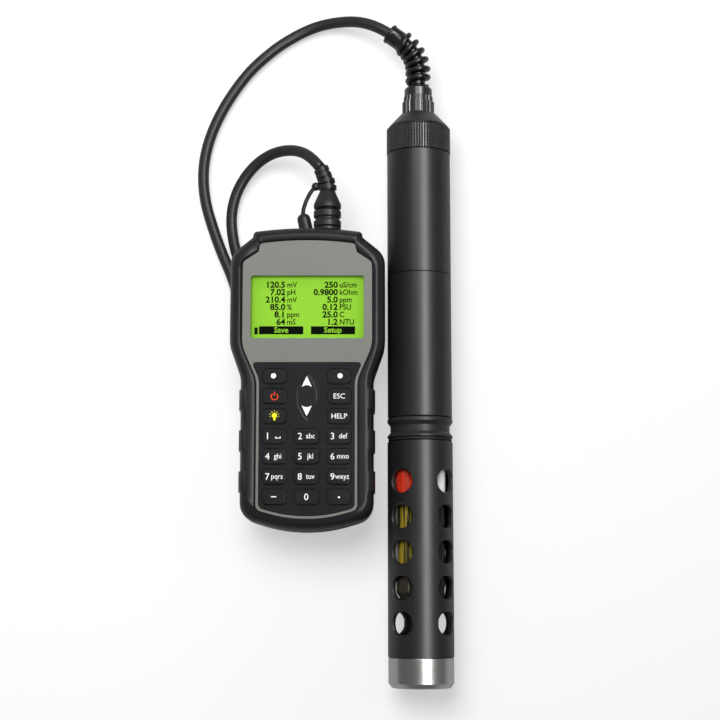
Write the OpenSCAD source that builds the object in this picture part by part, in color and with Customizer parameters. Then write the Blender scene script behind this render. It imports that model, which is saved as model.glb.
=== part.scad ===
// Handheld multiparameter water quality meter with its lead and submersible probe.
// It lies on its back: +Z is up out of the keypad, +Y runs from the sensors to the cable gland.
// The origin is on the floor, at the middle of the meter and probe together. Millimetres.

/* [Meter housing] */
// Width of the meter across its head
meter_w = 94.4; // [92:0.4:98]
// Length of the meter, over the rubber boot
meter_l = 185; // [180:1:195]
// Thickness of the meter, over the rubber boot
meter_t = 35; // [34:0.5:38]
// Width of the waist that a hand holds
waist_w = 80.4; // [79:0.4:84]
// Width of the hood over the socket
hood_w = 66; // [60:1:70]
// Side wall of the rubber boot
boot_wall = 3.4; // [3:0.1:3.8]
// Floor of the rubber boot behind the case
boot_floor = 2.4; // [1.8:0.1:3]
// Wall of the two plastic case halves
case_wall = 2; // [1.6:0.1:2.4]
// How far the three grip pads on each side stand out
grip_h = 0.9; // [0.5:0.1:1.2]
// Length of a grip pad
grip_l = 12; // [9:0.5:14]

/* [Front of the meter] */
// Width of the grey panel at the head
panel_w = 78.4; // [76:0.4:79.6]
// Width of the grey panel at the waist
panel_waist_w = 60.6; // [59.6:0.2:61.6]
// Thickness of the grey panel
panel_t = 1.5; // [1.2:0.1:1.8]
// Width of the grey trim that shows round the keypad plate
trim_w = 1.6; // [1.2:0.1:1.8]
// Width of the display opening
display_w = 68.5; // [64:0.5:69]
// Height of the display opening
display_h = 38.3; // [34:0.5:39]
// Centre of the display, above the middle of the meter
display_y = 42.4; // [41.5:0.1:43]

/* [Keys] */
// Width of a key in the outer columns
key_w = 14.1; // [12.5:0.1:14.6]
// Width of a key in the middle column
key_mid_w = 14.9; // [13:0.1:15.4]
// Height of a key, along the meter
key_h = 9; // [8:0.1:9.4]
// Distance between key columns
key_pitch_x = 19.4; // [18.6:0.1:19.8]
// Distance between key rows
key_pitch_y = 12.07; // [11.8:0.01:12.2]
// Centre of the first key row, below the middle of the meter
key_first_y = 0.1; // [0:0.1:0.8]
// Gap round each key in the keypad plate
key_gap = 0.35; // [0.3:0.05:0.5]
// How far a key travels
key_travel = 0.8; // [0.5:0.1:0.9]
// How far a key's top stands above the keypad plate
key_proud = 0.9; // [0.8:0.1:1.1]
// Length of the pointed up and down key
nav_l = 27.2; // [24:0.2:28]
// Width of the pointed up and down key
nav_w = 11.5; // [10:0.1:12]

/* [Plug and socket] */
// Distance of the socket's axis from the middle of the meter
socket_x = 11.7; // [8:0.1:14]
// Height of the socket's axis above the back of the meter
socket_z = 17.6; // [17:0.1:18.2]
// Outside diameter of the plug
plug_d = 17; // [16:0.1:17.6]
// Diameter of the plug's insert
insert_d = 11.8; // [11:0.1:12.4]
// Length of the plug's coupling collar
collar_l = 10.6; // [10:0.1:11.2]
// Outside diameter of the dust cap
dust_cap_d = 8.3; // [7.6:0.1:8.8]

/* [Lead] */
// Outside diameter of the lead
lead_d = 7; // [6.8:0.1:7]
// Radius of the coil's outermost turn, at the lead's middle
coil_r = 42; // [41:0.5:43]
// Turns beside each other in the coil
coil_rows = 3; // [2:1:3]
// Turns on top of each other in the coil
coil_layers = 2; // [2:1:2]

/* [Probe] */
// Distance of the probe's axis from the origin
probe_x = 48; // [48:0.1:52]
// Outside diameter of the two body tubes
tube_d = 39.5; // [38.8:0.1:39.8]
// Wall of the body tubes and of the protective sleeve
tube_wall = 2.5; // [2.2:0.1:2.8]
// Length of the upper body tube
upper_l = 77.9; // [60:0.1:90]
// Length of the lower body tube
lower_l = 89.2; // [70:0.1:110]
// Outside diameter of the protective sleeve
sleeve_d = 40; // [39:0.1:40.2]
// Length of the protective sleeve
sleeve_l = 129.5; // [125:0.1:140]
// Diameter of the water holes in the sleeve
hole_d = 14.3; // [12:0.1:15.5]
// Distance between rows of water holes
hole_pitch = 21.27; // [18:0.01:22.5]
// Rows of water holes
hole_rows = 5; // [4:1:5]
// Outside diameter of the steel end
steel_d = 39.6; // [38:0.1:39.8]
// Length of the steel end
steel_l = 17.6; // [15:0.1:22]
// Diameter of the hole through the steel end
steel_bore = 30; // [26:0.5:31]
// Diameter of the knurled ring and the flanges at the sensor block
ring_d = 40; // [39.8:0.1:40.4]
// Length of the knurled ring
ring_l = 16.7; // [14:0.1:20]
// Length of the conical shoulder
shoulder_l = 9.8; // [8:0.1:12]
// Diameter of the gland nut
gland_d = 20.2; // [19:0.1:21]
// Length of the gland nut
gland_l = 17.7; // [16:0.1:19]
// Length of the sensor block that shows between tube and sleeve
block_l = 14.8; // [14:0.1:16]
// Diameter of each of the three sensors
sensor_d = 13.4; // [12:0.1:13.8]
// Length of the sensors below the sensor block's spigot
sensor_l = 84; // [76:0.5:88]
// Outside diameter of the spring-shaped strain relief
spring_d = 16.2; // [15.4:0.1:16.6]
// Thickness of the strain relief's wire
spring_wire = 3.4; // [3:0.1:3.6]
// Turns of the strain relief
spring_turns = 6; // [5:1:6]

/* [Hidden] */
$fn = 64;

// Clearances: between parts that slide in by hand, between parts that run on each other, and a moulded joint line
slip = 0.2;
run_fit = 0.08;
joint_gap = 0.3;
// Overlap of a cutting tool past the face that it cuts
past = 1;

// Where the meter lies: on its coiled lead, beside the probe
meter_x = meter_w / 2 - probe_x - ring_d / 2;
meter_y = -1.7;
meter_z = coil_layers * lead_d;
probe_z = max(ring_d, sleeve_d) / 2;

// Outline of the meter: half sizes, slopes in degrees and corner radii
head = meter_w / 2;
half_l = meter_l / 2;
foot_slope = 16.4;
foot_r = 90;
hood_slope = 7.4;
// Straight part of the hood's crown beside each corner
hood_shoulder = 3.5;
taper_low = 0;
taper_high = 19.6;

function unit(v) = v / norm(v);
function arc_rise(r, slope) = r * (1 / cos(slope) - 1);
function flat(v) = [v.x, v.y];

// A corner of an outline, [x, y, radius, steps], as points on its fillet
function fillet(before, corner, after) =
  let (
    u = unit(flat(before) - flat(corner)),
    w = unit(flat(after) - flat(corner)),
    half = acos(u * w) / 2,
    r = corner[2],
    centre = flat(corner) + unit(u + w) * r / sin(half),
    from = flat(corner) + u * r / tan(half) - centre,
    to = flat(corner) + w * r / tan(half) - centre,
    start = atan2(from.y, from.x),
    sweep = (atan2(to.y, to.x) - start + 900) % 360 - 180
  )
  [for (i = [0:corner[3]]) centre + r * [cos(start + sweep * i / corner[3]), sin(start + sweep * i / corner[3])]];

function rounded(corners) =
  let (n = len(corners))
  [for (i = [0:n - 1]) each fillet(corners[(i + n - 1) % n], corners[i], corners[(i + 1) % n])];

// A closed outline from its foot, its right side and its crown
function both_sides(foot, side, crown) =
  concat([foot], side, [crown], [for (i = [len(side) - 1:-1:0]) [-side[i].x, side[i].y, side[i][2], side[i][3]]]);

// Corners that the boot and the panel share, from half sizes, the notch beside the hood and the shoulder's slope
function meter_corners(half_w, half_waist, half_hood, top, bottom, notch, shoulder, low, high, round_r) =
  let (
    foot_y = -bottom - arc_rise(foot_r * bottom / half_l, foot_slope),
    crown_r = (half_hood - hood_shoulder) / sin(hood_slope),
    crown_y = top + arc_rise(crown_r, hood_slope),
    hood_y = crown_y - half_hood * tan(hood_slope),
    notch_y = hood_y - notch,
    notch_x = half_hood + 0.8
  )
  both_sides(
    [0, foot_y, foot_r * bottom / half_l, 12],
    [
      [half_waist, foot_y + half_waist * tan(foot_slope), round_r, 6],
      [half_waist, low, 20, 3],
      [half_w, high, 20, 3],
      [half_w, notch_y - (half_w - notch_x) * tan(shoulder), round_r, 6],
      [notch_x, notch_y, 0.8, 2],
      [half_hood, hood_y, min(2.2, notch * 0.6), 4]
    ],
    [0, crown_y, crown_r, 8]
  );

boot_outline = rounded(
  meter_corners(head, waist_w / 2, hood_w / 2, half_l, half_l, 3.6, 39.4, taper_low, taper_high, 12)
);
panel_corners = meter_corners(
  panel_w / 2, panel_waist_w / 2, hood_w / 2 - 4, half_l - 8.9, half_l - 7, 5, 34, taper_low - 2, taper_high - 1, 4
);
panel_outline = rounded(panel_corners);

// The boot's outline drawn in by a distance, keeping its shape
function drawn_in(d) = [for (p = boot_outline) [p.x * (head - d) / head, p.y * (half_l - d) / half_l]];

// Heights in the meter, above its back
lip_t = 2.6;
case_top = meter_t - lip_t;
panel_top = case_top + panel_t;
plate_t = 1.6;
plate_top = case_top + plate_t;
shelf_z = 25.8;
split_z = 18;
gasket_t = 1;
mat_top = 29.3;
dome_h = 0.5;
board_top = 28.5;
board_t = 1.6;
flange_t = 0.9;
flange_top = case_top - 0.4;
boot_gap = 0.45;
case_in = boot_wall + slip;
top_in = 6.2;
cell_d = 14.2;
cell_l = 50;
cell_box = [60, 56];
cell_y = 57.5 - half_l;
door_t = 2;
// Screw bosses and board posts, as one of each mirrored pair
bosses = [[head - 13.2, half_l - 22], [waist_w / 2 - 8.8, 24.3 - half_l]];
posts = [[24, half_l - 34.5], [24, 24.5 - half_l]];
boss_r = 3.2;
screw_r = 1.4;
screw_head_r = 2.3;
cell_room = cell_d + 4.5;
board = [54, meter_l - 47];
board_y = -3;

// The keys: name, column, row
keys = [
  ["key_soft_left", -1, 0], ["key_soft_right", 1, 0], ["key_power", -1, 1], ["key_esc", 1, 1],
  ["key_light", -1, 2], ["key_help", 1, 2], ["key_1", -1, 3], ["key_2", 0, 3], ["key_3", 1, 3],
  ["key_4", -1, 4], ["key_5", 0, 4], ["key_6", 1, 4], ["key_7", -1, 5], ["key_8", 0, 5], ["key_9", 1, 5],
  ["key_minus", -1, 6], ["key_0", 0, 6], ["key_dot", 1, 6]
];
function key_width(column) = column == 0 ? key_mid_w : key_w;
function key_place(column, row) = [column * key_pitch_x, -key_first_y - row * key_pitch_y];
function rounded_box(w, h, r, steps) =
  rounded([[w / 2, -h / 2, r, steps], [w / 2, h / 2, r, steps], [-w / 2, h / 2, r, steps], [-w / 2, -h / 2, r, steps]]);
nav_place = key_place(0, 1);

// A pointed oval of a length and a width, as two arcs
function oval(l, w) =
  let (r = (l * l + w * w) / (4 * w), half = asin(l / 2 / r), steps = 10)
  [
    for (i = [0:steps]) [r * cos(-half + 2 * half * i / steps) - r + w / 2, r * sin(-half + 2 * half * i / steps)],
    for (i = [1:steps - 1]) [r - w / 2 - r * cos(half - 2 * half * i / steps), r * sin(half - 2 * half * i / steps)]
  ];

// Places along the probe, from the steel end to the gland
probe_l = steel_l + joint_gap * 2 + sleeve_l + block_l + lower_l + upper_l + ring_l + shoulder_l + gland_l;
steel_y = -probe_l / 2;
sleeve_y = steel_y + steel_l + joint_gap * 2;
block_y = sleeve_y + sleeve_l;
lower_y = block_y + block_l;
upper_y = lower_y + lower_l;
ring_y = upper_y + upper_l;
shoulder_y = ring_y + ring_l;
gland_y = shoulder_y + shoulder_l;
gland_top = gland_y + gland_l;
tube_in = tube_d / 2 - tube_wall;
sleeve_in = sleeve_d / 2 - tube_wall;
spigot_l = 11;
sensor_top = block_y - spigot_l;
sensor_at = 9.6;
sensor_turn = 60;
hole_first = 24.3;
hole_turn = 51.5;

// The lead's strain relief: straight out of the gland, then round a bend to its collar
relief_run = 10.5;
relief_bend = 24;
relief_turn = 53.5;
relief_l = relief_run + relief_bend * relief_turn * PI / 180;
relief_collar_l = 10.8;
relief_end = [
  probe_x - relief_bend * (1 - cos(relief_turn)), gland_top + relief_run + relief_bend * sin(relief_turn), probe_z
];
relief_heading = [-sin(relief_turn), cos(relief_turn), 0];

// The coil behind the meter
coil_place = [-20.9, 22, 0];
coil_in = coil_r - (coil_rows - 1) * lead_d - lead_d / 2;
coil_out = coil_r + lead_d / 2;
coil_h = coil_layers * lead_d;
tie_w = 8;
tie_t = 0.4;

// The lead's route from the plug to the coil, and from the gland to the coil, chosen by hand
low = 3.5;
meter_route = [
  [-13.5, 131.5, 31.6], [-19.5, 139, 29], [-26, 144, 24.5], [-34, 146.5, 19], [-44, 146, 13.5], [-54, 141, 9],
  [-62.5, 132, 6], [-68.5, 120.5, 4], [-71, 107, low], [-70, 94.5, low], [-67.5, 83, low], [-64, 74.5, low],
  [-58.5, 68, low], [-51, 63.5, low], [-42.5, 61.5, low], [-32.5, 62.5, low]
];
probe_route = [
  [48, 183.6, 20], [48, 190, 20], [48, 197, 20], [46.6, 205.5, 20], [42.4, 212.8, 20], [38.3, 216.7, 20],
  [34, 219.9, 20], [29.6, 223.1, 19.9], [24, 226.6, 19.3], [17, 230.2, 17.5], [10, 232.7, 14.8],
  [2.4, 234, 11.6], [-6.5, 234.3, 8], [-15.3, 233.3, 5.3], [-24, 230.4, 3.9], [-31.5, 226.4, low],
  [-40, 221.2, low], [-47.5, 215.2, low], [-56, 207.5, low], [-63.5, 199, low], [-74, 183.5, low],
  [-82.3, 167, low], [-87.5, 150.5, low], [-89.3, 134, low], [-87.5, 116.5, low], [-82.5, 99.3, low],
  [-79, 89.5, 3.8], [-75.3, 80, 4.6], [-71.5, 71.5, 5.8], [-67.5, 60.5, 7.6], [-64.8, 49, 9.2], [-63.3, 37, 10.1],
  [-62.8, 22, 10.4]
];

// Shared shapes

module place_meter() translate([meter_x, meter_y, meter_z]) children();

// Turns a shape that is drawn up +Z so that it runs along +Y on an axis
module along_y(x, z) translate([x, 0, z]) rotate([-90, 0, 0]) children();
module on_probe() along_y(probe_x, probe_z) children();
module on_socket() along_y(meter_x + socket_x, meter_z + socket_z) children();

// A turned part from its [radius, height] points
module turned(points) rotate_extrude() polygon(points);

module hollow(r_out, r_in, y, l) turned([[r_in, y], [r_out, y], [r_out, y + l], [r_in, y + l]]);

module slab(outline, from, to) translate([0, 0, from]) linear_extrude(to - from) polygon(outline);

module both() { children(); mirror([1, 0, 0]) children(); }

module at_each(places) for (p = places) both() translate([p.x, p.y, 0]) children();

// A ring-shaped skin through a loop of [outline, height] levels that all have the same number of points
module ring_loft(levels) {
  n = len(levels[0][0]);
  count = len(levels);
  polyhedron(
    points = [for (level = levels) for (p = level[0]) [p.x, p.y, level[1]]],
    faces = [
      for (k = [0:count - 1]) for (i = [0:n - 1])
        let (a = k * n, b = (k + 1) % count * n, j = (i + 1) % n)
          each [[a + i, b + i, b + j], [a + i, b + j, a + j]]
    ],
    convexity = 6
  );
}

// A round tube that follows a path; ups holds one sideways direction for each point
module swept(path, r, sides, ups) {
  n = len(path);
  ahead = [for (i = [0:n - 1]) unit(path[min(i + 1, n - 1)] - path[max(i - 1, 0)])];
  polyhedron(
    points = [
      for (i = [0:n - 1])
        let (side = unit(cross(ahead[i], ups[i])), up = cross(side, ahead[i]))
          for (j = [0:sides - 1]) path[i] + r * (cos(360 * j / sides) * side + sin(360 * j / sides) * up)
    ],
    faces = concat(
      [[for (j = [sides - 1:-1:0]) j]],
      [
        for (i = [0:n - 2]) for (j = [0:sides - 1])
          [i * sides + j, i * sides + (j + 1) % sides, (i + 1) * sides + (j + 1) % sides]
      ],
      [
        for (i = [0:n - 2]) for (j = [0:sides - 1])
          [i * sides + j, (i + 1) * sides + (j + 1) % sides, (i + 1) * sides + j]
      ],
      [[for (j = [0:sides - 1]) (n - 1) * sides + j]]
    ),
    convexity = 6
  );
}

module lead_along(path) swept(path, lead_d / 2, 10, [for (p = path) [0, 0, 1]]);

// The outline of a ring with straight ribs round it
function ribbed(r, depth, count) =
  [
    for (i = [0:count - 1]) for (s = [[0, 0], [0.2, 1], [0.55, 1], [0.75, 0]])
      let (a = 360 * (i + s[0]) / count, q = r - depth * (1 - s[1])) [q * cos(a), q * sin(a)]
  ];

// Meter housing

// Height and draw-in of the boot's skin: a small round at the back, a long soft one at the front
back_round = [6, 5];
front_round = [9, 6];
boot_levels = concat(
  [for (a = [90:-22.5:0]) [back_round[0] * (1 - sin(a)), back_round[1] * (1 - cos(a))]],
  [for (a = [0:15:90]) [meter_t - front_round[0] * (1 - sin(a)), front_round[1] * (1 - cos(a))]]
);

// Where the boot's wall begins beside a hollow that is drawn in by a distance, at the waist
function waist_wall(d) = waist_w / 2 * (1 - d / head) + 0.6;

module grip_pads() {
  reach = 6;
  face = meter_t - 0.3;
  skin = [
    for (level = boot_levels)
      let (x = waist_w / 2 * (1 - level[1] / head) + grip_h)
        if (level[0] > 1 && level[0] < face && x > waist_w / 2 - reach) [x, level[0]]
  ];
  profile = concat(
    [[waist_wall(boot_wall), skin[0].y]], skin,
    [
      [waist_w / 2 - reach, face], [waist_w / 2 - reach, case_top + 0.6], [waist_wall(top_in - slip), case_top + 0.6],
      [waist_wall(top_in - slip), shelf_z + 0.6], [waist_wall(boot_wall), shelf_z + 0.6]
    ]
  );
  for (y = [-19.8, -44.3, -69])
    both() translate([0, y + grip_l, 0]) rotate([90, 0, 0]) linear_extrude(grip_l) polygon(profile);
}

module socket_hole(r) translate([socket_x, 0, socket_z]) rotate([-90, 0, 0]) cylinder(r = r, h = meter_l);

// Opening of the boot's front lip, round the panel
function lip_outline() =
  [for (p = panel_outline) [p.x * (1 + 2 * boot_gap / panel_w), p.y * (1 + 2 * boot_gap / meter_l)]];

module rubber_boot() color("#2b2c2e") place_meter()
  difference() {
    union() {
      ring_loft(concat(
        [for (level = boot_levels) [drawn_in(level[1]), level[0]]],
        [
          [lip_outline(), meter_t - 0.6], [lip_outline(), case_top], [drawn_in(top_in - slip), case_top],
          [drawn_in(top_in - slip), shelf_z], [drawn_in(boot_wall), shelf_z], [drawn_in(boot_wall), boot_floor],
          [drawn_in(10), boot_floor], [drawn_in(10), 0]
        ]
      ));
      grip_pads();
    }
    socket_hole(plug_d / 2 + 0.8);
  }

display_half = [display_w / 2 + 2, display_h / 2 + 2];
keys_low = -key_first_y - 6 * key_pitch_y - key_h / 2 - 1.2;
keys_high = -key_first_y + key_h / 2 + 1.5;
keys_half = key_pitch_x + key_w / 2 + 1.15;

module front_case() color("#3a3b3d") place_meter()
  difference() {
    union() {
      difference() {
        union() {
          slab(drawn_in(case_in), split_z + gasket_t / 2, shelf_z);
          slab(drawn_in(top_in), shelf_z - case_wall, case_top);
        }
        slab(drawn_in(case_in + case_wall), split_z, shelf_z - case_wall);
        slab(drawn_in(top_in + case_wall), split_z, case_top - case_wall);
      }
      at_each(bosses) translate([0, 0, split_z + gasket_t / 2])
        cylinder(r = boss_r, h = case_top - 1 - split_z - gasket_t / 2);
    }
    translate([-display_half.x, display_y - display_half.y, case_top - 3 * case_wall])
      cube([2 * display_half.x, 2 * display_half.y, 4 * case_wall]);
    translate([-keys_half, keys_low, case_top - 3 * case_wall])
      cube([2 * keys_half, keys_high - keys_low, 4 * case_wall]);
    at_each(bosses) translate([0, 0, split_z]) cylinder(r = screw_r + 0.05, h = 9);
    socket_hole(plug_d / 2 - 2);
  }

module rear_case() color("#343537") place_meter()
  difference() {
    union() {
      difference() {
        slab(drawn_in(case_in), boot_floor, split_z - gasket_t / 2);
        slab(drawn_in(case_in + case_wall), boot_floor + case_wall, split_z);
      }
      translate([-cell_box.x / 2 - 1.5, cell_y - cell_box.y / 2 - 1.5, boot_floor + 0.5])
        cube([cell_box.x + 3, cell_box.y + 3, cell_room + 1]);
      at_each(bosses) translate([0, 0, boot_floor + 0.5])
        cylinder(r = boss_r, h = split_z - gasket_t / 2 - boot_floor - 0.5);
      at_each(posts) translate([0, 0, boot_floor + 0.5])
        cylinder(r = 3, h = board_top - board_t - boot_floor - 0.5);
    }
    translate([-cell_box.x / 2, cell_y - cell_box.y / 2, boot_floor - past])
      cube([cell_box.x, cell_box.y, cell_room + past]);
    at_each(bosses) {
      cylinder(r = screw_r + 0.25, h = split_z);
      cylinder(r = screw_head_r + 0.3, h = boot_floor + 3);
    }
    socket_hole(plug_d / 2 - 2);
  }

module case_gasket() color("#1d1d1d") place_meter()
  difference() {
    slab(drawn_in(case_in + 0.5), split_z - gasket_t / 2, split_z + gasket_t / 2);
    slab(drawn_in(case_in + case_wall), split_z - past, split_z + past);
    socket_hole(plug_d / 2 - 2);
  }

module battery_door() color("#343537") place_meter() {
  w = cell_box.x - 2 * slip;
  h = cell_box.y - 2 * slip;
  translate([0, cell_y, 0]) {
    slab(rounded_box(w, h, 1.5, 4), boot_floor, boot_floor + door_t);
    for (y = [-1, 1]) translate([-w / 2 + 6, y * (h / 2 - 3) - 1, boot_floor + door_t]) cube([w - 12, 2, 0.8]);
  }
}

cell_z = boot_floor + door_t + 1 + cell_d / 2;

module batteries() color("#b08a3a") place_meter()
  for (i = [-1.5:1:1.5]) translate([i * (cell_d + 0.4), cell_y - cell_l / 2, cell_z]) rotate([-90, 0, 0]) {
    cylinder(d = cell_d, h = cell_l - 1.2);
    translate([0, 0, cell_l - 1.2]) cylinder(d = 5.5, h = 1.2);
  }

module battery_contacts() color("silver") place_meter()
  for (i = [-1.5:1:1.5]) translate([i * (cell_d + 0.4), cell_y, cell_z]) {
    translate([-5, cell_box.y / 2 - 0.6, -5]) cube([10, 0.5, 10]);
    translate([-5, -cell_box.y / 2 + 0.1, -5]) cube([10, 0.5, 10]);
    for (k = [0:2]) translate([0, -cell_box.y / 2 + 0.6 + k * 0.7, 0]) rotate([-90, 0, 0])
      cylinder(r = 4 - k * 0.8, h = 0.7);
  }

module case_screws() color("#9a9a98") place_meter()
  at_each(bosses) {
    translate([0, 0, boot_floor + 1]) cylinder(r = screw_head_r, h = 2);
    cylinder_h = split_z + 8 - boot_floor - 3;
    translate([0, 0, boot_floor + 3]) cylinder(r = screw_r, h = cylinder_h);
  }

module front_panel() color("#80837a") place_meter()
  translate([0, 0, case_top]) linear_extrude(panel_t) difference() {
    polygon(panel_outline);
    translate([0, display_y]) polygon(rounded_box(display_w, display_h, 1.5, 4));
    polygon(plate_outline(trim_w));
  }

// The keypad plate's outline: the panel's, drawn in, up to a straight top edge
plate_high = keys_high + 2.6;
function plate_outline(inset) =
  let (
    half = panel_waist_w / 2 - inset,
    foot = panel_corners[0],
    side = panel_corners[1],
    top_half = half + (panel_w - panel_waist_w) / 2 * (plate_high - taper_low + 2) / (taper_high - taper_low + 1)
  )
  rounded([
    [0, foot.y + inset / cos(foot_slope), foot[2], 10],
    [half, side.y + inset * (1 - sin(foot_slope)) / cos(foot_slope), 3.5, 4],
    [half, taper_low - 2, 12, 2],
    [top_half, plate_high - inset + trim_w, 1.5, 3],
    [-top_half, plate_high - inset + trim_w, 1.5, 3],
    [-half, taper_low - 2, 12, 2],
    [-half, side.y + inset * (1 - sin(foot_slope)) / cos(foot_slope), 3.5, 4]
  ]);

module keypad_plate() color("#222325") place_meter()
  difference() {
    slab(plate_outline(trim_w + joint_gap), case_top, plate_top);
    for (k = keys) translate(concat(key_place(k[1], k[2]), [0]))
      slab(rounded_box(key_width(k[1]) + 2 * key_gap, key_h + 2 * key_gap, 3 + key_gap, 5), 0, plate_top + past);
    translate(concat(nav_place, [0])) slab(oval(nav_l + 2, nav_w + 1), 0, plate_top + past);
  }

module keypad_mat() color("#c9c9c4") place_meter() {
  translate([-board.x / 2, keys_low + 0.7, board_top]) cube([board.x, keys_high - keys_low - 1, mat_top - board_top]);
  for (k = keys) translate(concat(key_place(k[1], k[2]), [mat_top])) cylinder(r = 3, h = dome_h);
  for (y = [-8, 8]) translate([nav_place.x, nav_place.y + y, mat_top]) cylinder(r = 2.5, h = dome_h);
}

module display_window() color("#b8c878", 0.6) place_meter()
  translate([-display_half.x + slip, display_y - display_half.y + slip, case_top - 1.4])
    cube([2 * (display_half.x - slip), 2 * (display_half.y - slip), 1.4]);

module lcd_module() color("#9dd93c") place_meter()
  translate([-display_half.x + 0.5, display_y - display_half.y + 0.5, board_top])
    cube([2 * display_half.x - 1, 2 * display_half.y - 1, case_top - 1.5 - board_top]);

module main_board() color("#1e5a34") place_meter() {
  translate([-board.x / 2, board_y - board.y / 2, board_top - board_t]) cube([board.x, board.y, board_t]);
  translate([-12, 28, board_top - board_t - 3]) cube([24, 24, 3]);
}

module key_cap(name) color("#2c2d2f") place_meter()
  for (k = keys) if (k[0] == name) translate(concat(key_place(k[1], k[2]), [0])) {
    w = key_width(k[1]);
    top = plate_top + key_proud;
    slab(rounded_box(w, key_h, 3, 5), flange_top, top - 0.4);
    slab(rounded_box(w - 0.7, key_h - 0.7, 2.7, 5), top - 0.4, top);
    slab(rounded_box(w + 1.6, key_h + 1.4, 3.4, 4), flange_top - flange_t, flange_top);
  }

// The up and down key rocks on its middle, so it has no flange at its ends
module key_nav() color("#2c2d2f") place_meter() translate(concat(nav_place, [0])) {
  top = plate_top + key_proud;
  slab(oval(nav_l, nav_w), flange_top, top - 0.3);
  slab(oval(nav_l - 1.6, nav_w - 0.8), top - 0.3, top);
  translate([0, 0, flange_top - flange_t]) cylinder(r = 4, h = flange_t);
}

// Plug and socket, along the socket's axis

socket_face = meter_y + half_l;
socket_ring = 2;
plug_y = socket_face + socket_ring + 0.6;
shell_y = plug_y + collar_l + 0.9;
shell_straight = 3;
shell_cone = 9;
boot_y = shell_y + shell_straight + shell_cone;
plug_neck_r = 4.4;

module probe_socket() color("#3b3b3d") on_socket()
  turned([
    [insert_d / 2 + run_fit, socket_face - 8], [plug_d / 2 - 2.1, socket_face - 8], [plug_d / 2 - 2.1, socket_face + 0.3],
    [plug_d / 2, socket_face + 0.3], [plug_d / 2, socket_face + socket_ring], [insert_d / 2 + run_fit, socket_face + socket_ring]
  ]);

module plug_core() color("#2a2a2a") on_socket() {
  translate([0, 0, socket_face - 7]) cylinder(d = insert_d, h = shell_y + 2 - socket_face + 7);
  for (a = [30:60:330]) rotate([0, 0, a]) translate([3.6, 0, socket_face - 9.5]) cylinder(r = 0.6, h = 2.5);
}

// Two ridges with a groove between them, on a thin sleeve that turns on the plug's insert
module plug_collar() color("#303133") on_socket() {
  r = plug_d / 2;
  groove = 1.1;
  ridge = 4.2;
  turned([
    [insert_d / 2 + run_fit, plug_y], [r - 0.5, plug_y], [r, plug_y + 0.5], [r, plug_y + ridge - 0.5],
    [r - groove, plug_y + ridge + 0.4], [r - groove, plug_y + ridge + 1.4], [r, plug_y + ridge + 2.2],
    [r, plug_y + collar_l - 0.6], [r - groove, plug_y + collar_l], [insert_d / 2 + run_fit, plug_y + collar_l]
  ]);
}

module plug_shell() color("#3a3b3d") on_socket() {
  r = plug_d / 2;
  turned([
    [insert_d / 2, shell_y], [r - 0.7, shell_y], [r, shell_y + 0.7], [r, shell_y + shell_straight],
    [plug_neck_r + 0.1, boot_y], [0, boot_y], [0, shell_y + 2.05], [insert_d / 2, shell_y + 2.05]
  ]);
}

// The flexible ringed tail of the plug, which leans the way the lead goes
tail_rings = [[0, 1.8, 5.7], [0.7, 5.7, 5.4], [2.2, 9.4, 4.9], [3.6, 13, 4.8]];
module plug_boot() color("#303133") on_socket() {
  translate([0, 0, boot_y]) cylinder(r = plug_neck_r, h = 3);
  for (i = [0:len(tail_rings) - 1]) {
    ring = tail_rings[i];
    lean = i * 9;
    translate([-ring[0], 0, boot_y + ring[1]]) rotate([0, -lean, 0]) {
      translate([0, 0, -1.2]) cylinder(r = ring[2], h = 2.4);
      if (i < len(tail_rings) - 1) cylinder(r1 = plug_neck_r, r2 = 4, h = 4.4);
    }
  }
}

// The strap's ring sits on the neck between the shell and the first ring of the tail
strap_r = 1.3;
strap_path = [
  [-15.2, 119.6, 31.6], [-17.6, 118.6, 31.3], [-20.2, 115.2, 30.4], [-22.4, 111, 29.2], [-24, 106.6, 27.8],
  [-24.6, 102.4, 26.6]
];
cap_top = [-24.6, 103, 26.6];
cap_axis = [2.4, -10.6, 0];
module cap_tether() color("#2d2e30") {
  swept(strap_path, strap_r, 8, [for (p = strap_path) [0, 0, 1]]);
  translate([-16.4, 119.5, 31.6]) sphere(r = 2.6);
}

module dust_cap() color("#2a2b2d") translate(cap_top)
  rotate([0, 0, atan2(cap_axis.y, cap_axis.x)]) rotate([0, acos(cap_axis.z / norm(cap_axis)), 0]) {
    r = dust_cap_d / 2;
    turned([[0, 0], [2, 0], [r - 0.6, 1.2], [r, 3], [r + 0.1, 10.6], [r - 0.8, 10.6], [r - 0.8, 2.6], [0, 2.6]]);
  }

// Lead

module cable_to_meter() color("#343537") lead_along(meter_route);
module cable_to_probe() color("#343537") lead_along(probe_route);

module cable_coil() color("#343537") translate(coil_place)
  difference() {
    turned([[coil_in, 0], [coil_out, 0], [coil_out, coil_h], [coil_in, coil_h]]);
    for (z = [-past, coil_h - tie_t])
      translate([-tie_w / 2, -coil_out - past, z]) cube([tie_w, coil_out - coil_in + 2 * past, tie_t + past]);
  }

module coil_tie() color("#1c1c1c") translate(coil_place) {
  span = coil_out - coil_in + 2 * tie_t;
  translate([-tie_w / 2, -coil_out - tie_t, 0]) difference() {
    cube([tie_w, span + 0.2, coil_h]);
    translate([-past, tie_t, tie_t]) cube([tie_w + 2 * past, span - 2 * tie_t + 0.2, coil_h - 2 * tie_t]);
  }
}

// Probe

// A point on the strain relief's middle line, and the direction away from its bend there
function relief_point(s) =
  s < relief_run
    ? [probe_x, gland_top + s, probe_z]
    : let (a = (s - relief_run) / relief_bend * 180 / PI)
      [probe_x - relief_bend * (1 - cos(a)), gland_top + relief_run + relief_bend * sin(a), probe_z];
function relief_out(s) = let (a = max(0, s - relief_run) / relief_bend * 180 / PI) [cos(a), sin(a), 0];

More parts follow.
